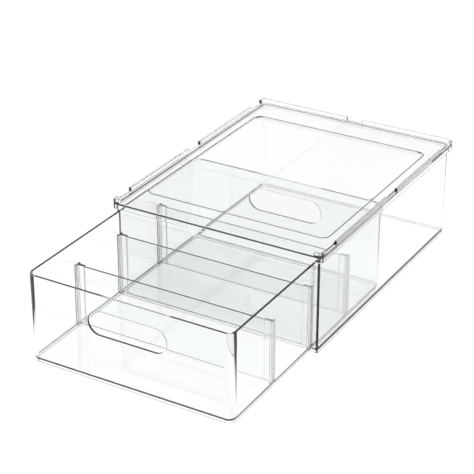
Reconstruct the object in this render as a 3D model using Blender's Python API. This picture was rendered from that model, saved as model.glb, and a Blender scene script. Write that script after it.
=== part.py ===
"""Clear stackable drawer organiser: an open-fronted case, its top cover, a drawer and three dividers.

Every length in the tables below is in millimetres and is turned into metres where a mesh is made. The X axis
runs across the case, the drawer pulls out towards -Y, and +Z is up. The origin is the bottom centre of the
whole object with its drawer part-way out.
"""

import math

import bmesh
import bpy

MM = 0.001
EPS = 1.0
CORNER_STEPS = 8
PILL_STEPS = 20

# Driving sizes of the whole object.
COVER_WIDTH = 216.0
COVER_DEPTH = 280.0
REST_PULL = 138.6
OVERHANG = 3.3
FIT_GAP = 0.3

# Case body.
CASE_WALL = 2.2
CASE_CORNER = 5.0
CASE_FRONT_CORNER = 1.0
FOOT_HEIGHT = 2.2
FOOT_WIDTH = 2.4
CASE_FLOOR_TOP = 4.3

# Top cover, from its lip's lower edge up to the top of the stacking rails.
LIP_BOTTOM = 91.2
LIP_THICK = 2.6
PLATE_BOTTOM = 95.2
PLATE_TOP = 97.5
RAIL_TOP = 101.0
RAIL_THICK = 3.0
COVER_CORNER = 4.5
PANEL_HALF_WIDTH = 92.2
PANEL_HALF_DEPTH = 102.7
PANEL_STEP = 1.5
PANEL_CORNER = 6.0
PANEL_RIM = 2.3
RAIL_GAP = 20.0
RAIL_CORNER = 8.0
RAIL_BACK_GAP = 17.0

# Drawer.
DRAWER_LENGTH = 272.0
DRAWER_HALF_WIDTH = 101.2
DRAWER_WALL = 2.3
DRAWER_CORNER = 8.0
DRAWER_TOP = 90.4
DRAWER_FLOOR_TOP = 8.8
DRAWER_FLOOR = 2.2
DRAWER_STEP = 1.2
DRAWER_STEP_TOP = 8.4
PILL_HALF_LENGTH = 39.0
PILL_RADIUS = 11.6
PILL_CENTRE_Z = 63.1

# Dividers and the wall ribs that hold their ends.
COMPARTMENTS = 4
PANEL_THICK = 1.8
END_THICK = 3.2
END_LENGTH = 8.4
DIVIDER_TOP = 67.8
END_TOP = 68.6
RIB_THICK = 1.6
RIB_DEPTH = 2.2

# Places that follow from the driving sizes.
COVER_FRONT = -(COVER_DEPTH - REST_PULL) / 2.0
COVER_BACK = COVER_FRONT + COVER_DEPTH
COVER_HALF = COVER_WIDTH / 2.0
CASE_HALF = COVER_HALF - OVERHANG
CASE_FRONT = COVER_FRONT + OVERHANG
CASE_BACK = COVER_BACK - OVERHANG
CASE_TOP = PLATE_BOTTOM - FIT_GAP
PLATE_THICK = PLATE_TOP - PLATE_BOTTOM
DRAWER_FRONT = COVER_FRONT - REST_PULL
DRAWER_BACK = DRAWER_FRONT + DRAWER_LENGTH
DRAWER_BOTTOM = CASE_FLOOR_TOP + FIT_GAP
DRAWER_INNER_HALF = DRAWER_HALF_WIDTH - DRAWER_WALL
COMPARTMENT_PITCH = (DRAWER_LENGTH - 2.0 * DRAWER_WALL) / COMPARTMENTS
DIVIDER_NAMES = ("divider_front", "divider_middle", "divider_rear")
DIVIDER_BOTTOM = DRAWER_FLOOR_TOP + FIT_GAP

CLEAR_TINT = (0.86, 0.88, 0.88, 1.0)
EDGE_ROUND = 0.4


def clear_scene():
    """Removes every object, so that the script can run again in an open file."""
    for item in list(bpy.data.objects):
        bpy.data.objects.remove(item, do_unlink=True)


def clear_plastic(name, roughness):
    """Clear moulded polystyrene."""
    material = bpy.data.materials.new(name)
    material.use_nodes = True
    shader = material.node_tree.nodes["Principled BSDF"]
    shader.inputs["Base Color"].default_value = CLEAR_TINT
    shader.inputs["Roughness"].default_value = roughness
    shader.inputs["Metallic"].default_value = 0.0
    shader.inputs["IOR"].default_value = 1.59
    shader.inputs["Transmission Weight"].default_value = 0.9
    return material


def new_object(name, mesh_data, material=None):
    """Turns a bmesh into a named object in the scene, with its faces pointing outwards."""
    bmesh.ops.recalc_face_normals(mesh_data, faces=mesh_data.faces)
    mesh = bpy.data.meshes.new(name)
    mesh_data.to_mesh(mesh)
    mesh_data.free()
    item = bpy.data.objects.new(name, mesh)
    bpy.context.scene.collection.objects.link(item)
    if material:
        mesh.materials.append(material)
    return item


def arc(centre_x, centre_y, radius, start, steps):
    """Points of a quarter circle that begins at the angle start and turns anticlockwise."""
    angles = [start + math.pi / 2.0 * step / steps for step in range(steps + 1)]
    return [(centre_x + radius * math.cos(a), centre_y + radius * math.sin(a)) for a in angles]


def rectangle(half_x, front, back, front_radius, back_radius, steps=CORNER_STEPS):
    """Outline of a rectangle centred on X = 0, with one radius at its front and one at its back corners."""
    corners = (
        (half_x, back, back_radius, 1.0, 1.0, 0.0),
        (half_x, back, back_radius, -1.0, 1.0, 0.5),
        (half_x, front, front_radius, -1.0, -1.0, 1.0),
        (half_x, front, front_radius, 1.0, -1.0, 1.5),
    )
    points = []
    for x, y, radius, side_x, side_y, turn in corners:
        centre = (side_x * (x - radius), y - side_y * radius)
        points += arc(*centre, radius, turn * math.pi, steps)
    return points


def loft(name, rings, material=None):
    """Solid through rings of equal point counts, closed by a flat face at each end."""
    mesh_data = bmesh.new()
    loops = [[mesh_data.verts.new([value * MM for value in point]) for point in ring] for ring in rings]
    count = len(rings[0])
    for lower, upper in zip(loops, loops[1:]):
        for step in range(count):
            after = (step + 1) % count
            mesh_data.faces.new((lower[step], lower[after], upper[after], upper[step]))
    mesh_data.faces.new(loops[0])
    mesh_data.faces.new(loops[-1])
    return new_object(name, mesh_data, material)


def prism(name, outline, bottom, top, material=None):
    """Upright solid with the outline, between two heights."""
    return loft(name, [[(x, y, z) for x, y in outline] for z in (bottom, top)], material)


def blocks(name, boxes):
    """One mesh of separate upright boxes, each given by its lowest and highest corner."""
    mesh_data = bmesh.new()
    for low, high in boxes:
        corners = bmesh.ops.create_cube(mesh_data, size=1.0)["verts"]
        size = [(b - a) * MM for a, b in zip(low, high)]
        centre = [(a + b) / 2.0 * MM for a, b in zip(low, high)]
        bmesh.ops.scale(mesh_data, vec=size, verts=corners)
        bmesh.ops.translate(mesh_data, vec=centre, verts=corners)
    return new_object(name, mesh_data)


def as_cutter(item):
    """Keeps a tool shape out of the finished object."""
    item.hide_render = True
    item.display_type = "WIRE"
    return item


def combine(item, tool, operation):
    """Adds an exact Boolean of the tool to the item."""
    modifier = item.modifiers.new(tool.name, "BOOLEAN")
    modifier.solver = "EXACT"
    modifier.operation = operation
    modifier.object = as_cutter(tool)


def round_edges(item, width=EDGE_ROUND):
    """Rounds every sharp edge, as a mould does."""
    modifier = item.modifiers.new("rounded_edges", "BEVEL")
    modifier.limit_method = "ANGLE"
    modifier.angle_limit = math.radians(50.0)
    modifier.width = width * MM
    modifier.segments = 2


def mirrored(boxes):
    """The boxes together with their mirror images across X = 0."""
    flipped = [((-high[0], low[1], low[2]), (-low[0], high[1], high[2])) for low, high in boxes]
    return boxes + flipped


def divider_places():
    """Centre of each divider along Y, at equal steps from the inner face of the drawer's front."""
    first = DRAWER_FRONT + DRAWER_WALL
    return [first + COMPARTMENT_PITCH * step for step in range(1, COMPARTMENTS)]


def make_case_body(material):
    """Floor, sides and back in one moulding, on a foot ring, open at the front and the top."""
    outline = rectangle(CASE_HALF, CASE_FRONT, CASE_BACK, CASE_FRONT_CORNER, CASE_CORNER)
    body = prism("case_body", outline, 0.0, CASE_TOP, material)

    inner_corner = CASE_CORNER - CASE_WALL
    bay_half = CASE_HALF - CASE_WALL
    bay = rectangle(bay_half, CASE_FRONT - 10.0, CASE_BACK - CASE_WALL, EPS, inner_corner)
    combine(body, prism("case_bay_cut", bay, CASE_FLOOR_TOP, CASE_TOP + EPS), "DIFFERENCE")

    ring_half = CASE_HALF - FOOT_WIDTH
    recess = rectangle(ring_half, CASE_FRONT + FOOT_WIDTH, CASE_BACK - FOOT_WIDTH, inner_corner, inner_corner)
    combine(body, prism("case_foot_cut", recess, -EPS, FOOT_HEIGHT), "DIFFERENCE")
    round_edges(body)
    return body


def rail_gaps():
    """Boxes that part the stacking rails: three on each side, one at the back and the whole front middle."""
    lift = (PLATE_TOP, RAIL_TOP + EPS)
    inside = COVER_HALF - RAIL_THICK - EPS
    outside = COVER_HALF + EPS
    middle = (COVER_FRONT + COVER_BACK) / 2.0
    near = COVER_FRONT + RAIL_CORNER + RAIL_GAP / 2.0
    far = COVER_BACK - RAIL_CORNER - RAIL_GAP / 2.0
    reach = RAIL_GAP / 2.0
    sides = [((inside, y - reach, lift[0]), (outside, y + reach, lift[1])) for y in (near, middle, far)]
    front_half = COVER_HALF - RAIL_CORNER
    front = ((-front_half, COVER_FRONT - EPS, lift[0]), (front_half, COVER_FRONT + RAIL_THICK + EPS, lift[1]))
    back_half = RAIL_BACK_GAP / 2.0
    back = ((-back_half, COVER_BACK - RAIL_THICK - EPS, lift[0]), (back_half, COVER_BACK + EPS, lift[1]))
    return mirrored(sides) + [front, back]


def panel_outline(grow):
    """Rounded rectangle of the sunk panel, made larger by the given amount on every side."""
    middle = (COVER_FRONT + COVER_BACK) / 2.0
    depth = PANEL_HALF_DEPTH + grow
    radius = PANEL_CORNER + grow
    return rectangle(PANEL_HALF_WIDTH + grow, middle - depth, middle + depth, radius, radius)


def make_top_cover(material):
    """Plate with a sunk panel, a lip that hangs outside the walls, and parted stacking rails on its rim."""
    outline = rectangle(COVER_HALF, COVER_FRONT, COVER_BACK, COVER_CORNER, COVER_CORNER)
    cover = prism("top_cover", outline, LIP_BOTTOM, RAIL_TOP, material)

    corner = COVER_CORNER - LIP_THICK
    half = COVER_HALF - LIP_THICK
    under = rectangle(half, COVER_FRONT + LIP_THICK, COVER_BACK - LIP_THICK, corner, corner)
    combine(cover, prism("cover_under_cut", under, LIP_BOTTOM - EPS, PLATE_BOTTOM), "DIFFERENCE")

    corner = COVER_CORNER - RAIL_THICK
    half = COVER_HALF - RAIL_THICK
    tray = rectangle(half, COVER_FRONT + RAIL_THICK, COVER_BACK - RAIL_THICK, corner, corner)
    combine(cover, prism("cover_tray_cut", tray, PLATE_TOP, RAIL_TOP + EPS), "DIFFERENCE")
    combine(cover, blocks("cover_rail_gaps", rail_gaps()), "DIFFERENCE")

    pad_bottom = PLATE_BOTTOM - PANEL_STEP
    pad = prism("cover_pad", panel_outline(PANEL_RIM), pad_bottom, PLATE_BOTTOM + PLATE_THICK / 2.0)
    combine(cover, pad, "UNION")
    panel = prism("cover_panel_cut", panel_outline(0.0), PLATE_TOP - PANEL_STEP, PLATE_TOP + EPS)
    combine(cover, panel, "DIFFERENCE")
    round_edges(cover)
    return cover


def drawer_rings():
    """Rings of the drawer's skin, from under its floor, round the foot and the rim, to the floor's top."""
    profile = (
        (DRAWER_STEP + DRAWER_WALL, DRAWER_FLOOR_TOP - DRAWER_FLOOR),
        (DRAWER_STEP + DRAWER_WALL, DRAWER_BOTTOM),
        (DRAWER_STEP, DRAWER_BOTTOM),
        (DRAWER_STEP, DRAWER_STEP_TOP),
        (0.0, DRAWER_STEP_TOP),
        (0.0, DRAWER_TOP),
        (DRAWER_WALL, DRAWER_TOP),
        (DRAWER_WALL, DRAWER_FLOOR_TOP),
    )
    rings = []
    for inset, z in profile:
        radius = DRAWER_CORNER - inset
        outline = rectangle(
            DRAWER_HALF_WIDTH - inset, DRAWER_FRONT + inset, DRAWER_BACK - inset, radius, radius
        )
        rings.append([(x, y, z) for x, y in outline])
    return rings


def slot_ribs():
    """Pairs of upright ribs on both side walls, one pair for each divider end."""
    reach = DRAWER_INNER_HALF - RIB_DEPTH
    near = END_THICK / 2.0 + FIT_GAP
    far = near + RIB_THICK
    boxes = []
    for y in divider_places():
        for start, stop in ((y - far, y - near), (y + near, y + far)):
            low = (reach, start, DRAWER_FLOOR_TOP - EPS)
            high = (DRAWER_INNER_HALF + EPS, stop, END_TOP)
            boxes.append((low, high))
    return mirrored(boxes)


def finger_hole_cutter():
    """One pill-shaped bar along Y, long enough to pass through both end walls of the drawer."""
    straight = PILL_HALF_LENGTH - PILL_RADIUS
    outline = []
    for side, start in ((1.0, -math.pi / 2.0), (-1.0, math.pi / 2.0)):
        for step in range(PILL_STEPS + 1):
            angle = start + math.pi * step / PILL_STEPS
            x = side * straight + PILL_RADIUS * math.cos(angle)
            outline.append((x, PILL_CENTRE_Z + PILL_RADIUS * math.sin(angle)))
    ends = (DRAWER_FRONT - EPS, DRAWER_BACK + EPS)
    return loft("drawer_finger_cut", [[(x, y, z) for x, z in outline] for y in ends])


def make_drawer(material):
    """Open box on a shallow foot ring, with divider ribs and a finger hole in each end wall."""
    drawer = loft("drawer", drawer_rings(), material)
    combine(drawer, blocks("drawer_ribs", slot_ribs()), "UNION")
    combine(drawer, finger_hole_cutter(), "DIFFERENCE")
    round_edges(drawer)
    return drawer


def make_divider(name, place, material):
    """Upright sheet with a thicker block at each end that drops between two ribs."""
    half = DRAWER_INNER_HALF - FIT_GAP
    thin = PANEL_THICK / 2.0
    thick = END_THICK / 2.0
    inner = half - END_LENGTH
    sheet = ((-inner - EPS, place - thin, DIVIDER_BOTTOM), (inner + EPS, place + thin, DIVIDER_TOP))
    divider = blocks(name, [sheet])
    divider.data.materials.append(material)
    ends = mirrored([((inner, place - thick, DIVIDER_BOTTOM), (half, place + thick, END_TOP))])
    combine(divider, blocks(name + "_ends", ends), "UNION")
    round_edges(divider)
    return divider


def main():
    """Builds every piece."""
    clear_scene()
    make_case_body(clear_plastic("clear_case", 0.03))
    make_top_cover(clear_plastic("clear_cover", 0.05))
    make_drawer(clear_plastic("clear_drawer", 0.03))
    for name, place in zip(DIVIDER_NAMES, divider_places()):
        make_divider(name, place, clear_plastic("clear_" + name, 0.04))


main()
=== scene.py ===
"""Looks of a clear stackable drawer organiser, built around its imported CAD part.

Six injection-moulded pieces of crystal polystyrene replace the plain CAD solids: the open-fronted case, the
railed cover, the drawer and three dividers. The classes hold their sizes in millimetres, and the meshes are
in metres, in the CAD's frame.
"""

import logging
import math
from dataclasses import dataclass
from enum import Enum
from typing import Any, Callable, Iterable

import bmesh
import bpy
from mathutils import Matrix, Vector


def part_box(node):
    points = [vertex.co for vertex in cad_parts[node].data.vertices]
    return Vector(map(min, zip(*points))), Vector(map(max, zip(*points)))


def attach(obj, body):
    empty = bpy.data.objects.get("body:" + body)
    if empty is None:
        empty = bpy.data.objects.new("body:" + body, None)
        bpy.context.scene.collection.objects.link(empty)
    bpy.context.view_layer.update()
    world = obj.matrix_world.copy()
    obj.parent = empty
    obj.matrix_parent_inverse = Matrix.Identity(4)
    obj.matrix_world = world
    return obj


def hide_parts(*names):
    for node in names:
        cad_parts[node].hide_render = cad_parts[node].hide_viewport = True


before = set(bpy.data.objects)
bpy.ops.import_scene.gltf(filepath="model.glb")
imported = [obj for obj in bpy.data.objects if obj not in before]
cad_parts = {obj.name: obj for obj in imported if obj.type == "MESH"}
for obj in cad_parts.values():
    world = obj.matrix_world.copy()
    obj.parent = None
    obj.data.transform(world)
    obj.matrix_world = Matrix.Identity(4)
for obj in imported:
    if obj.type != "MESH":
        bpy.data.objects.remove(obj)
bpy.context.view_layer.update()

MM = 0.001
SAME_PLACE = 1e-6  # metres; points closer than this count as one
NEAR_PLACE = 1e-5  # metres; a looser match, for the edges at one end of a block
TOOL_REACH = 10.0  # millimetres that a cutting tool stands out past an open face
LEVEL_ANGLE = math.radians(0.5)  # faces that turn less than this are one flat face
SHARP_ANGLE = math.radians(40.0)  # edges that turn more than this are corners and get a rounding
DIVIDER_NODES = ("divider_front", "divider_middle", "divider_rear")
LOG = logging.getLogger("organiser")

Point = tuple[float, float, float]


class Kind(Enum):
    """What an edit-mode selection is made of."""

    VERT = "VERT"
    EDGE = "EDGE"
    FACE = "FACE"


class Join(Enum):
    """How a second solid is combined with a piece."""

    ADD = "UNION"
    CUT = "DIFFERENCE"


class Side(Enum):
    """Which level face of a block is worked on, as the sign of its normal."""

    TOP = 1.0
    UNDER = -1.0


@dataclass(frozen=True)
class Box:
    """Upright box in millimetres.

    Attributes:
        low: Its lowest corner.
        high: Its highest corner.
    """

    low: Point
    high: Point

    @classmethod
    def of_node(cls, node: str) -> "Box":
        """Reads a CAD node's box at rest.

        Args:
            node: The node's name.

        Returns:
            The box in millimetres.
        """
        low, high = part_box(node)
        return cls(tuple(v / MM for v in low), tuple(v / MM for v in high))

    def inner(self, side: float, front: float, back: float, bottom: float, top: float) -> "Box":
        """Box moved in from this one on each face; a negative amount moves a face out.

        Args:
            side: Amount on both X faces.
            front: Amount on the -Y face.
            back: Amount on the +Y face.
            bottom: Amount on the lower face.
            top: Amount on the upper face.

        Returns:
            The new box.
        """
        low = (self.low[0] + side, self.low[1] + front, self.low[2] + bottom)
        high = (self.high[0] - side, self.high[1] - back, self.high[2] - top)
        return Box(low, high)

    def mirrored(self) -> "Box":
        """The box's mirror image across X = 0."""
        return Box((-self.high[0], self.low[1], self.low[2]), (-self.low[0], self.high[1], self.high[2]))


# ------------------------------------------------------------------------------------------------------------
# Modelling steps
# ------------------------------------------------------------------------------------------------------------


def deselect_all() -> None:
    """Leaves edit mode and clears the selection, so that an operator works on nothing by mistake."""
    if bpy.context.mode != "OBJECT":
        bpy.ops.object.mode_set(mode="OBJECT")
    bpy.ops.object.select_all(action="DESELECT")


def make_active(piece: bpy.types.Object) -> None:
    """Selects one piece alone and makes it the active one.

    Args:
        piece: The piece.
    """
    deselect_all()
    piece.select_set(True)
    bpy.context.view_layer.objects.active = piece


def add_block(name: str, box: Box) -> bpy.types.Object:
    """Adds a cube at a box's size and place.

    Args:
        name: The new object's name.
        box: Where it stands.

    Returns:
        The block, with its object at the origin.
    """
    deselect_all()
    centre = [(a + b) / 2.0 * MM for a, b in zip(box.low, box.high)]
    size = [(b - a) * MM for a, b in zip(box.low, box.high)]
    bpy.ops.mesh.primitive_cube_add(size=1.0, location=centre, scale=size)
    bpy.ops.object.transform_apply(location=True, rotation=True, scale=True)
    block = bpy.context.active_object
    block.name = name
    block.data.name = name
    return block


def pick(piece: bpy.types.Object, kind: Kind, test: Callable[[Any], bool]) -> None:
    """Enters edit mode and selects the parts of a mesh that pass a test.

    Args:
        piece: The piece to edit.
        kind: Whether vertices, edges or faces are selected.
        test: Says of one part whether it is selected.
    """
    make_active(piece)
    bpy.ops.object.mode_set(mode="EDIT")
    bpy.ops.mesh.select_mode(type=kind.value)
    bpy.ops.mesh.select_all(action="DESELECT")
    mesh = bmesh.from_edit_mesh(piece.data)
    parts = {Kind.VERT: mesh.verts, Kind.EDGE: mesh.edges, Kind.FACE: mesh.faces}[kind]
    for part in filter(test, parts):
        part.select_set(True)
    mesh.select_flush_mode()
    bmesh.update_edit_mesh(piece.data)


def is_upright(edge: Any) -> bool:
    """True if an edge runs straight up."""
    start, end = (vert.co for vert in edge.verts)
    return math.hypot(start.x - end.x, start.y - end.y) < SAME_PLACE


def is_at_height(place: Any, height: float) -> bool:
    """True if a point lies at a height given in millimetres."""
    return abs(place.z - height * MM) < SAME_PLACE


def edge_middle(edge: Any) -> Any:
    """Middle point of an edge, in metres."""
    return (edge.verts[0].co + edge.verts[1].co) / 2.0


def bevel_picked(radius: float, steps: int) -> None:
    """Rounds the edges that are picked and leaves edit mode.

    Args:
        radius: Radius in millimetres.
        steps: Faces along a quarter turn.
    """
    bpy.ops.mesh.bevel(offset=radius * MM, segments=steps, profile=0.5, affect="EDGES", clamp_overlap=False)
    bpy.ops.object.mode_set(mode="OBJECT")


def round_uprights(
    piece: bpy.types.Object, radius: float, steps: int, test: Callable[[Any], bool] = lambda middle: True
) -> None:
    """Rounds a block's upright corners.

    Args:
        piece: The piece to edit.
        radius: Corner radius in millimetres.
        steps: Faces along a quarter turn.
        test: Says of an edge's middle whether that corner is rounded.
    """
    pick(piece, Kind.EDGE, lambda edge: is_upright(edge) and test(edge_middle(edge)))
    bevel_picked(radius, steps)


def round_level_edges(piece: bpy.types.Object, height: float, radius: float, steps: int) -> None:
    """Rounds all the level edges at one height.

    Args:
        piece: The piece to edit.
        height: The edges' height in millimetres.
        radius: Radius in millimetres.
        steps: Faces along a quarter turn.
    """
    pick(piece, Kind.EDGE, lambda edge: all(is_at_height(vert.co, height) for vert in edge.verts))
    bevel_picked(radius, steps)


def halve(piece: bpy.types.Object) -> None:
    """Cuts a piece's faces along X = 0, so that a ring-shaped face is parted there and not at a corner.

    Args:
        piece: The piece to edit.
    """
    pick(piece, Kind.FACE, lambda face: True)
    bpy.ops.mesh.bisect(plane_co=(0.0, 0.0, 0.0), plane_no=(1.0, 0.0, 0.0))
    bpy.ops.object.mode_set(mode="OBJECT")


def sink(piece: bpy.types.Object, side: Side, height: float, inset: float, depth: float) -> None:
    """Insets a level face and pushes the middle into the piece, which leaves a wall round a hollow.

    Args:
        piece: The piece to edit.
        side: Whether the face looks up or down.
        height: The face's height in millimetres.
        inset: Wall left round the hollow, in millimetres.
        depth: How far the middle is pushed in, in millimetres.
    """
    pick(
        piece,
        Kind.FACE,
        lambda face: face.normal.z * side.value > 0.99 and is_at_height(face.calc_center_median(), height),
    )
    bpy.ops.mesh.inset(thickness=inset * MM, depth=0.0, use_even_offset=True)
    step = -side.value * depth * MM
    bpy.ops.mesh.extrude_region_move(TRANSFORM_OT_translate={"value": (0.0, 0.0, step)})
    bpy.ops.object.mode_set(mode="OBJECT")


def combine(piece: bpy.types.Object, tool: bpy.types.Object, how: Join) -> None:
    """Applies an exact Boolean and removes the tool.

    Args:
        piece: The piece that is changed.
        tool: The solid that is added or cut away.
        how: Which of the two.
    """
    make_active(piece)
    step = piece.modifiers.new("combine", "BOOLEAN")
    step.solver = "EXACT"
    step.operation = how.value
    step.object = tool
    bpy.ops.object.modifier_apply(modifier=step.name)
    bpy.data.objects.remove(tool, do_unlink=True)


def soften(piece: bpy.types.Object, radius: float, steps: int = 3) -> None:
    """Rounds every sharp edge as a polished mould does, and shades round stretches smooth and flat ones flat.

    Each flat stretch is first made one face, so that no rounding runs into an edge that a Boolean left there.

    Args:
        piece: The piece to finish.
        radius: Edge radius in millimetres.
        steps: Faces along each rounding.
    """
    pick(piece, Kind.FACE, lambda face: True)
    bpy.ops.mesh.dissolve_limited(angle_limit=LEVEL_ANGLE)
    bpy.ops.object.mode_set(mode="OBJECT")
    edges = piece.modifiers.new("edges", "BEVEL")
    edges.limit_method = "ANGLE"
    edges.angle_limit = SHARP_ANGLE
    edges.width = radius * MM
    edges.segments = steps
    edges.use_clamp_overlap = False
    bpy.ops.object.modifier_apply(modifier=edges.name)
    bpy.ops.object.shade_smooth_by_angle(angle=SHARP_ANGLE)
    straighten_normals(piece)


def is_flat(face: Any) -> bool:
    """True if a face looks straight along X, Y or Z, as every flat face of this object does."""
    return max(abs(part) for part in face.normal) > 0.99999


def straighten_normals(piece: bpy.types.Object) -> None:
    """Makes flat faces shade dead flat, and each rounding start from the flat face beside it.

    Args:
        piece: The piece, with its edges rounded.
    """
    mesh = piece.data
    flats: dict[int, list[Any]] = {}
    for face in filter(is_flat, mesh.polygons):
        for vertex in face.vertices:
            flats.setdefault(vertex, []).append(face.normal.copy())
    normals = [corner.vector.copy() for corner in mesh.corner_normals]
    for face in mesh.polygons:
        for loop, vertex in zip(face.loop_indices, face.vertices):
            turns = [(flat.angle(face.normal), at) for at, flat in enumerate(flats.get(vertex, ()))]
            turn, nearest = min(turns, default=(math.pi, 0))
            if turn < SHARP_ANGLE:
                normals[loop] = flats[vertex][nearest]
    mesh.normals_split_custom_set(normals)


# ------------------------------------------------------------------------------------------------------------
# Finishes
# ------------------------------------------------------------------------------------------------------------


def to_linear(colour: str) -> tuple[float, float, float, float]:
    """Turns an sRGB hex colour into linear light.

    Args:
        colour: Six hex digits.

    Returns:
        Red, green, blue and an alpha of 1.
    """
    parts = [int(colour[at : at + 2], 16) / 255.0 for at in (0, 2, 4)]
    red, green, blue = (p / 12.92 if p <= 0.04045 else ((p + 0.055) / 1.055) ** 2.4 for p in parts)
    return (red, green, blue, 1.0)


def add_node(
    tree: bpy.types.NodeTree, kind: str, settings: dict[str, Any], links: dict[str, Any]
) -> bpy.types.Node:
    """Adds one node to a tree.

    Args:
        tree: The tree it goes into.
        kind: The node's type.
        settings: Values by name. A name that starts with a capital letter is an input socket, and any other
            is an attribute of the node.
        links: Output sockets, by the name or number of the input they feed.

    Returns:
        The new node.
    """
    node = tree.nodes.new(kind)
    for name, value in settings.items():
        if name[0].isupper():
            node.inputs[name].default_value = value
        else:
            setattr(node, name, value)
    for name, source in links.items():
        tree.links.new(source, node.inputs[int(name)] if name.isdigit() else node.inputs[name])
    return node


@dataclass(frozen=True)
class CrystalPolystyrene:
    """Crystal polystyrene, injection-moulded in a polished mould: water-clear, hard and bright.

    The eye gets sharp reflections, dark lines where a wall is seen end-on, and a faint waviness in the gloss
    from the flow of the melt.

    Attributes:
        name: The material's name.
        tint: What the plastic passes, as sRGB hex.
        shade: What lamplight keeps through one surface, as sRGB hex.
        ior: How strongly it bends light.
        roughness: Lowest and highest roughness of the polish.
        wave_mm: Length of the flow waves.
        wave_height_mm: Their height.
        wear_mm: Length of the patches in which the polish is worn by handling.
    """

    name: str
    tint: str = "FBFCFC"
    shade: str = "FEFEFE"
    ior: float = 1.59
    roughness: tuple[float, float] = (0.0, 0.03)
    wave_mm: float = 14.0
    wave_height_mm: float = 0.01
    wear_mm: float = 40.0

    def make(self) -> bpy.types.Material:
        """Builds the material.

        Returns:
            The new material.
        """
        material = bpy.data.materials.new(self.name)
        material.use_nodes = True
        tree = material.node_tree
        tree.nodes.clear()
        place = add_node(tree, "ShaderNodeTexCoord", {}, {}).outputs["Object"]
        waves = add_node(
            tree,
            "ShaderNodeTexNoise",
            {"Scale": 1.0 / (self.wave_mm * MM), "Detail": 1.0, "Roughness": 0.4},
            {"Vector": place},
        )
        bump = add_node(
            tree,
            "ShaderNodeBump",
            {"Strength": 1.0, "Distance": self.wave_height_mm * MM},
            {"Height": waves.outputs["Fac"]},
        )
        wear = add_node(
            tree,
            "ShaderNodeTexNoise",
            {"Scale": 1.0 / (self.wear_mm * MM), "Detail": 3.0, "Roughness": 0.6},
            {"Vector": place},
        )
        polish = add_node(
            tree,
            "ShaderNodeMapRange",
            {
                "From Min": 0.35,
                "From Max": 0.75,
                "To Min": self.roughness[0],
                "To Max": self.roughness[1],
            },
            {"Value": wear.outputs["Fac"]},
        )
        plastic = add_node(
            tree,
            "ShaderNodeBsdfPrincipled",
            {"Base Color": to_linear(self.tint), "IOR": self.ior, "Transmission Weight": 1.0},
            {"Roughness": polish.outputs["Result"], "Normal": bump.outputs["Normal"]},
        )
        # Lamplight crosses the thin walls nearly whole, so that they throw the faint shadow of clear plastic.
        lamplight = add_node(tree, "ShaderNodeBsdfTransparent", {"Color": to_linear(self.shade)}, {})
        path = add_node(tree, "ShaderNodeLightPath", {}, {})
        soft_rays = add_node(
            tree,
            "ShaderNodeMath",
            {"operation": "MAXIMUM"},
            {"0": path.outputs["Is Shadow Ray"], "1": path.outputs["Is Diffuse Ray"]},
        )
        mix = add_node(
            tree,
            "ShaderNodeMixShader",
            {},
            {"0": soft_rays.outputs[0], "1": plastic.outputs[0], "2": lamplight.outputs[0]},
        )
        add_node(tree, "ShaderNodeOutputMaterial", {}, {"Surface": mix.outputs[0]})
        return material


@dataclass(frozen=True)
class LightTable:
    """Opal acrylic light table: matt, pale and softly lit from below, with a faint mottle.

    Attributes:
        name: The material's name.
        colour: Its colour, as sRGB hex.
        lit: Colour of the light behind it, as sRGB hex.
        glow: How brightly it is lit from below.
        mottle_mm: Length of the mottle in its matt face.
        mottle_height_mm: The mottle's height.
    """

    name: str = "opal_acrylic_light_table"
    colour: str = "BEBEBE"
    lit: str = "FCFCFC"
    glow: float = 0.64
    mottle_mm: float = 6.0
    mottle_height_mm: float = 0.02

    def make(self) -> bpy.types.Material:
        """Builds the material.

        Returns:
            The new material.
        """
        material = bpy.data.materials.new(self.name)
        material.use_nodes = True
        tree = material.node_tree
        tree.nodes.clear()
        place = add_node(tree, "ShaderNodeTexCoord", {}, {}).outputs["Object"]
        mottle = add_node(
            tree,
            "ShaderNodeTexNoise",
            {"Scale": 1.0 / (self.mottle_mm * MM), "Detail": 2.0},
            {"Vector": place},
        )
        bump = add_node(
            tree,
            "ShaderNodeBump",
            {"Strength": 0.3, "Distance": self.mottle_height_mm * MM},
            {"Height": mottle.outputs["Fac"]},
        )
        acrylic = add_node(
            tree,
            "ShaderNodeBsdfPrincipled",
            {
                "Base Color": to_linear(self.colour),
                "Roughness": 0.9,
                "Specular IOR Level": 0.1,
                "Emission Color": to_linear(self.lit),
                "Emission Strength": self.glow,
            },
            {"Normal": bump.outputs["Normal"]},
        )
        add_node(tree, "ShaderNodeOutputMaterial", {}, {"Surface": acrylic.outputs[0]})
        return material


# ------------------------------------------------------------------------------------------------------------
# Sub-assemblies
# ------------------------------------------------------------------------------------------------------------


def dress(piece: bpy.types.Object, material: bpy.types.Material, node: str, body: str) -> None:
    """Gives a piece its finish and its place in the frame.

    Args:
        piece: The finished mesh.
        material: Its material.
        node: The CAD node that it stands for.
        body: The CAD body that it moves with.
    """
    piece.data.materials.clear()
    piece.data.materials.append(material)
    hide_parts(node)
    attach(piece, body)
    LOG.info("%s: %d faces, for node %s on body %s", piece.name, len(piece.data.polygons), node, body)


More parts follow.
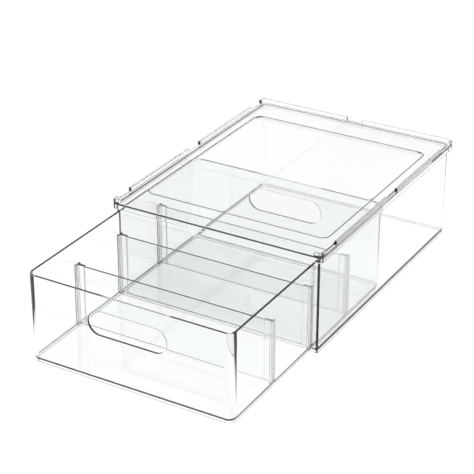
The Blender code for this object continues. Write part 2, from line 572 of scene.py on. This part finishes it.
@dataclass
class CaseBody:
    """Open-fronted case: floor, sides and back in one moulding, on a foot ring. Sizes are in millimetres.

    Attributes:
        wall: Thickness of the sides and back.
        corner: Radius of the two back corners.
        front_corner: Radius of the walls' front ends.
        foot_height: How far the foot ring stands below the floor.
        foot_width: Width of the ring.
        floor_top: Height of the floor's upper face.
        floor_fillet: Radius between the floor and the walls.
        edge: Radius of every other edge.
    """

    wall: float = 2.2
    corner: float = 5.0
    front_corner: float = 1.0
    foot_height: float = 2.2
    foot_width: float = 2.4
    floor_top: float = 4.3
    floor_fillet: float = 1.6
    edge: float = 0.45

    def build(self) -> bpy.types.Object:
        """Models the case.

        Returns:
            The piece.
        """
        box = Box.of_node("case_body")
        piece = add_block("case_shell", box)
        middle = (box.low[1] + box.high[1]) / 2.0 * MM
        round_uprights(piece, self.corner, 14, lambda place: place.y > middle)
        round_uprights(piece, self.front_corner, 4, lambda place: place.y < box.low[1] * MM + NEAR_PLACE)

        bay = box.inner(self.wall, -TOOL_REACH, self.wall, self.floor_top - box.low[2], -TOOL_REACH)
        tool = add_block("bay_tool", bay)
        round_uprights(tool, self.corner - self.wall, 10, lambda place: place.y > middle)
        round_level_edges(tool, bay.low[2], self.floor_fillet, 6)
        combine(piece, tool, Join.CUT)

        ring = box.inner(self.foot_width, self.foot_width, self.foot_width, -TOOL_REACH / 2.0, 0.0)
        under = Box(ring.low, (ring.high[0], ring.high[1], box.low[2] + self.foot_height))
        tool = add_block("foot_tool", under)
        round_uprights(tool, self.corner - self.foot_width, 10, lambda place: place.y > middle)
        round_uprights(tool, self.front_corner, 6, lambda place: place.y < under.low[1] * MM + NEAR_PLACE)
        combine(piece, tool, Join.CUT)
        soften(piece, self.edge)
        return piece

    def dress(self, piece: bpy.types.Object) -> None:
        """Gives the case its finish."""
        material = CrystalPolystyrene("crystal_polystyrene_case").make()
        dress(piece, material, "case_body", "case")


@dataclass
class TopCover:
    """Cover: a plate with a sunk panel, a lip outside the case's walls, and parted stacking rails on its rim.

    Sizes are in millimetres.

    Attributes:
        lip: Thickness of the lip that hangs outside the walls.
        plate_bottom: Height of the plate's lower face.
        plate_top: Height of its upper face.
        rail: Thickness of the rails.
        corner: Radius of the plate's corners.
        panel_half_width: Half the sunk panel's width.
        panel_half_depth: Half its depth.
        panel_step: How far it is sunk.
        panel_corner: Radius of its corners.
        panel_rim: How much wider the pad under the panel is on every side.
        pad_top_inset: How far the pad's top lies inside the plate.
        panel_fillet: Radius of the pad's lower edge.
        gap: Length of each gap in the side rails.
        corner_rail: Length of rail left beside each corner.
        back_gap: Length of the gap in the back rail.
        edge: Radius of every other edge.
    """

    lip: float = 2.6
    plate_bottom: float = 95.2
    plate_top: float = 97.5
    rail: float = 3.0
    corner: float = 4.5
    panel_half_width: float = 92.2
    panel_half_depth: float = 102.7
    panel_step: float = 1.5
    panel_corner: float = 6.0
    panel_rim: float = 2.3
    pad_top_inset: float = 0.6
    panel_fillet: float = 1.4
    gap: float = 20.0
    corner_rail: float = 8.0
    back_gap: float = 17.0
    edge: float = 0.45

    def build(self) -> bpy.types.Object:
        """Models the cover.

        Returns:
            The piece.
        """
        box = Box.of_node("top_cover")
        piece = add_block("cover_plate", box)
        round_uprights(piece, self.corner, 12)
        halve(piece)
        sink(piece, Side.UNDER, box.low[2], self.lip, self.plate_bottom - box.low[2])
        sink(piece, Side.TOP, box.high[2], self.rail, box.high[2] - self.plate_top)
        for place in self.gap_boxes(box):
            combine(piece, add_block("gap_tool", place), Join.CUT)
        under = self.plate_bottom - self.panel_step
        pad = self.panel_block(box, self.panel_rim, under, self.plate_top - self.pad_top_inset)
        round_level_edges(pad, under, self.panel_fillet, 6)
        combine(piece, pad, Join.ADD)
        panel = self.panel_block(box, 0.0, self.plate_top - self.panel_step, self.plate_top + 5.0)
        combine(piece, panel, Join.CUT)
        soften(piece, self.edge)
        return piece

    def panel_block(self, box: Box, grow: float, bottom: float, top: float) -> bpy.types.Object:
        """Rounded block with the sunk panel's outline.

        Args:
            box: The cover's box.
            grow: How much wider than the panel it is on every side.
            bottom: Its lower height.
            top: Its upper height.

        Returns:
            The block.
        """
        middle = (box.low[1] + box.high[1]) / 2.0
        half_width = self.panel_half_width + grow
        half_depth = self.panel_half_depth + grow
        block = add_block(
            "panel_tool",
            Box((-half_width, middle - half_depth, bottom), (half_width, middle + half_depth, top)),
        )
        round_uprights(block, self.panel_corner + grow, 12)
        return block

    def gap_boxes(self, box: Box) -> Iterable[Box]:
        """Places where the rails are parted: three on each side, one at the back and all along the front.

        Args:
            box: The cover's box.

        Returns:
            A box for each gap.
        """
        reach = self.rail + 1.0
        half = box.high[0]
        middle = (box.low[1] + box.high[1]) / 2.0
        ends = self.corner_rail + self.gap / 2.0
        low, high = self.plate_top, box.high[2] + 1.0
        gaps = []
        for place in (box.low[1] + ends, middle, box.high[1] - ends):
            front, back = place - self.gap / 2.0, place + self.gap / 2.0
            side = Box((half - reach, front, low), (half + 1.0, back, high))
            gaps += [side, side.mirrored()]
        front_half = half - self.corner_rail
        gaps.append(Box((-front_half, box.low[1] - 1.0, low), (front_half, box.low[1] + reach, high)))
        back_half = self.back_gap / 2.0
        gaps.append(Box((-back_half, box.high[1] - reach, low), (back_half, box.high[1] + 1.0, high)))
        return gaps

    def dress(self, piece: bpy.types.Object) -> None:
        """Gives the cover its finish."""
        material = CrystalPolystyrene("crystal_polystyrene_cover").make()
        dress(piece, material, "top_cover", "cover")


@dataclass
class Drawer:
    """Pull-out drawer: a deep box on a stepped foot, with finger holes in its ends and ribs for the dividers.

    Sizes are in millimetres.

    Attributes:
        wall: Thickness of the walls.
        corner: Radius of the upright corners.
        floor_top: Height of the floor's upper face.
        floor: Thickness of the floor.
        step: How far the foot stands in from the walls.
        step_top: Height of the step between foot and walls.
        foot_overlap: How far the foot's block reaches up into the walls' block.
        floor_fillet: Radius between the floor and the walls.
        hole_half_length: Half the length of a finger hole.
        hole_radius: Radius of its round ends.
        hole_height: Height of its middle.
        rib_depth: How far a rib stands out from the wall.
        rib_thick: Its thickness.
        rib_gap: Play between a rib and a divider.
        edge: Radius of every other edge.
    """

    wall: float = 2.3
    corner: float = 8.0
    floor_top: float = 8.8
    floor: float = 2.2
    step: float = 1.2
    step_top: float = 8.4
    foot_overlap: float = 2.0
    floor_fillet: float = 1.2
    hole_half_length: float = 39.0
    hole_radius: float = 11.6
    hole_height: float = 63.1
    rib_depth: float = 2.2
    rib_thick: float = 1.6
    rib_gap: float = 0.3
    edge: float = 0.45

    def build(self) -> bpy.types.Object:
        """Models the drawer.

        Returns:
            The piece.
        """
        box = Box.of_node("drawer")
        upper = box.inner(0.0, 0.0, 0.0, self.step_top - box.low[2], 0.0)
        piece = add_block("drawer_shell", upper)
        round_uprights(piece, self.corner, 18)
        above = box.high[2] - self.step_top - self.foot_overlap
        foot = box.inner(self.step, self.step, self.step, 0.0, above)
        tool = add_block("foot_tool", foot)
        round_uprights(tool, self.corner - self.step, 18)
        combine(piece, tool, Join.ADD)
        sink(piece, Side.UNDER, box.low[2], self.wall, self.floor_top - self.floor - box.low[2])

        hollow = box.inner(self.wall, self.wall, self.wall, self.floor_top - box.low[2], -TOOL_REACH)
        tool = add_block("hollow_tool", hollow)
        round_uprights(tool, self.corner - self.wall, 16)
        round_level_edges(tool, hollow.low[2], self.floor_fillet, 6)
        combine(piece, tool, Join.CUT)
        for place in self.rib_boxes(box):
            combine(piece, add_block("rib_tool", place), Join.ADD)
        combine(piece, self.hole_tool(box), Join.CUT)
        soften(piece, self.edge)
        return piece

    def rib_boxes(self, box: Box) -> Iterable[Box]:
        """Places of the upright ribs, a pair on each side wall for each divider.

        Args:
            box: The drawer's box.

        Returns:
            A box for each rib.
        """
        wall_face = box.high[0] - self.wall
        ribs = []
        for node in DIVIDER_NODES:
            end = Box.of_node(node)
            for start, stop in (
                (end.low[1] - self.rib_gap - self.rib_thick, end.low[1] - self.rib_gap),
                (end.high[1] + self.rib_gap, end.high[1] + self.rib_gap + self.rib_thick),
            ):
                low = (wall_face - self.rib_depth, start, self.floor_top - 1.0)
                rib = Box(low, (wall_face + 1.0, stop, end.high[2]))
                ribs += [rib, rib.mirrored()]
        return ribs

    def hole_tool(self, box: Box) -> bpy.types.Object:
        """Pill-shaped bar that cuts the finger holes through both ends.

        Args:
            box: The drawer's box.

        Returns:
            The bar.
        """
        deselect_all()
        middle = (box.low[1] + box.high[1]) / 2.0
        bpy.ops.mesh.primitive_cylinder_add(
            vertices=64,
            radius=self.hole_radius * MM,
            depth=(box.high[1] - box.low[1] + TOOL_REACH) * MM,
            location=(0.0, middle * MM, self.hole_height * MM),
            rotation=(math.pi / 2.0, 0.0, 0.0),
        )
        bpy.ops.object.transform_apply(location=True, rotation=True, scale=True)
        tool = bpy.context.active_object
        straight = (self.hole_half_length - self.hole_radius) * MM
        for side in (-1.0, 1.0):
            pick(tool, Kind.VERT, lambda vert: vert.co.x * side > NEAR_PLACE)
            bpy.ops.transform.translate(value=(side * straight, 0.0, 0.0))
            bpy.ops.object.mode_set(mode="OBJECT")
        return tool

    def dress(self, piece: bpy.types.Object) -> None:
        """Gives the drawer its finish."""
        material = CrystalPolystyrene("crystal_polystyrene_drawer").make()
        dress(piece, material, "drawer", "drawer")


@dataclass
class Dividers:
    """Lift-out dividers, all alike: thin upright sheets with a thicker post at each end.

    Sizes are in millimetres.

    Attributes:
        sheet: Thickness of the sheet.
        post: Length of a post.
        sheet_drop: How far the sheet's top lies below the posts'.
        edge: Radius of the edges.
    """

    sheet: float = 1.8
    post: float = 8.4
    sheet_drop: float = 0.8
    edge: float = 0.3

    def build(self) -> list[bpy.types.Object]:
        """Models the first divider and copies it to the others' places.

        Returns:
            The pieces, in the order of DIVIDER_NODES.
        """
        first = self.build_first()
        start = Box.of_node(DIVIDER_NODES[0])
        pieces = [first]
        for node in DIVIDER_NODES[1:]:
            step = [(b - a) * MM for a, b in zip(start.low, Box.of_node(node).low)]
            pieces.append(self.copy_by(first, node + "_sheet", step))
        return pieces

    def build_first(self) -> bpy.types.Object:
        """Models one divider at the first one's place.

        Returns:
            The piece.
        """
        box = Box.of_node(DIVIDER_NODES[0])
        spare = (box.high[1] - box.low[1] - self.sheet) / 2.0
        sheet = box.inner(self.post - 1.0, spare, spare, 0.0, self.sheet_drop)
        piece = add_block(DIVIDER_NODES[0] + "_sheet", sheet)
        post = Box((box.high[0] - self.post, box.low[1], box.low[2]), box.high)
        for place in (post, post.mirrored()):
            combine(piece, add_block("post_tool", place), Join.ADD)
        soften(piece, self.edge)
        return piece

    def copy_by(self, first: bpy.types.Object, name: str, step: Iterable[float]) -> bpy.types.Object:
        """Copies a divider with its own mesh.

        Args:
            first: The divider that is copied.
            name: The copy's name.
            step: How far off it stands, in metres.

        Returns:
            The copy, with its object at the origin.
        """
        piece = first.copy()
        piece.data = first.data.copy()
        piece.name = name
        piece.data.name = name
        bpy.context.scene.collection.objects.link(piece)
        piece.location = tuple(step)
        make_active(piece)
        bpy.ops.object.transform_apply(location=True, rotation=False, scale=False)
        return piece

    def dress(self, pieces: list[bpy.types.Object]) -> None:
        """Gives the dividers their finish.

        Args:
            pieces: The dividers, in the order of DIVIDER_NODES.
        """
        material = CrystalPolystyrene("crystal_polystyrene_dividers").make()
        for piece, node in zip(pieces, DIVIDER_NODES):
            dress(piece, material, node, node)


# ------------------------------------------------------------------------------------------------------------
# Studio
# ------------------------------------------------------------------------------------------------------------


@dataclass
class Studio:
    """Lit floor, one soft lamp, a pale ceiling and the camera.

    Attributes:
        floor_half: Half the floor's side, in millimetres.
        floor_gap: How far the floor lies below the feet, in millimetres.
        azimuth: The camera's turn about the upright axis, in degrees.
        elevation: How far it looks down, in degrees.
        lens: Its focal length on a 36 mm wide sensor, in millimetres.
        viewpoint: Where it stands, in millimetres.
        horizon_glow: Strength of the walls' light at the horizon.
        ceiling_glow: Strength of the ceiling's light.
        softbox_side: Side of the square lamp, in metres.
        softbox_power: The lamp's power, in watts.
        softbox_place: Where it hangs, in metres.
    """

    floor_half: float = 6000.0
    floor_gap: float = 0.1
    azimuth: float = 30.32
    elevation: float = 27.32
    lens: float = 121.04
    viewpoint: Point = (649.3, -1139.1, 735.5)
    horizon_glow: float = 0.1
    ceiling_glow: float = 0.85
    softbox_side: float = 3.0
    softbox_power: float = 14.0
    softbox_place: Point = (0.0, 0.3, 2.6)

    def build(self) -> None:
        """Lays the floor, hangs the lamp, lights the ceiling and sets up the camera."""
        self.lay_floor()
        self.hang_lamp()
        self.set_sky()
        self.set_camera()

    def lay_floor(self) -> None:
        """Adds the floor, a hair under the case's feet so that their faces don't share a plane."""
        deselect_all()
        place = (0.0, 0.0, -self.floor_gap * MM)
        bpy.ops.mesh.primitive_plane_add(size=2.0 * self.floor_half * MM, location=place)
        floor = bpy.context.active_object
        floor.name = "studio_floor"
        floor.data.materials.append(LightTable().make())

    def hang_lamp(self) -> None:
        """Hangs one broad soft lamp overhead."""
        data = bpy.data.lights.new("overhead_softbox", "AREA")
        data.shape = "RECTANGLE"
        data.size = self.softbox_side
        data.size_y = self.softbox_side
        data.energy = self.softbox_power
        lamp = bpy.data.objects.new("overhead_softbox", data)
        bpy.context.scene.collection.objects.link(lamp)
        lamp.location = self.softbox_place

    def set_sky(self) -> None:
        """Surrounds the floor with a pale ceiling that darkens towards the horizon."""
        world = bpy.data.worlds.new("studio_walls")
        bpy.context.scene.world = world
        world.use_nodes = True
        tree = world.node_tree
        background = tree.nodes["Background"]
        background.inputs["Color"].default_value = to_linear("FFFFFF")
        direction = add_node(tree, "ShaderNodeTexCoord", {}, {})
        height = add_node(tree, "ShaderNodeSeparateXYZ", {}, {"Vector": direction.outputs["Generated"]})
        glow = add_node(
            tree,
            "ShaderNodeMapRange",
            {
                "From Min": 0.05,
                "From Max": 0.4,
                "To Min": self.horizon_glow,
                "To Max": self.ceiling_glow,
            },
            {"Value": height.outputs["Z"]},
        )
        tree.links.new(glow.outputs["Result"], background.inputs["Strength"])

    def set_camera(self) -> None:
        """Places the camera at its viewing angle."""
        data = bpy.data.cameras.new("camera")
        data.lens = self.lens
        data.sensor_width = 36.0
        data.clip_end = 50.0
        camera = bpy.data.objects.new("camera", data)
        bpy.context.scene.collection.objects.link(camera)
        camera.location = [value * MM for value in self.viewpoint]
        camera.rotation_euler = (math.radians(90.0 - self.elevation), 0.0, math.radians(self.azimuth))
        bpy.context.scene.camera = camera
        bpy.context.scene.view_settings.view_transform = "Standard"


def main() -> None:
    """Builds the pieces in order, then the studio."""
    logging.basicConfig(level=logging.INFO, format="%(name)s: %(message)s")
    for part in (CaseBody(), TopCover(), Drawer(), Dividers()):
        part.dress(part.build())
    Studio().build()


if __name__ == "__main__":
    main()
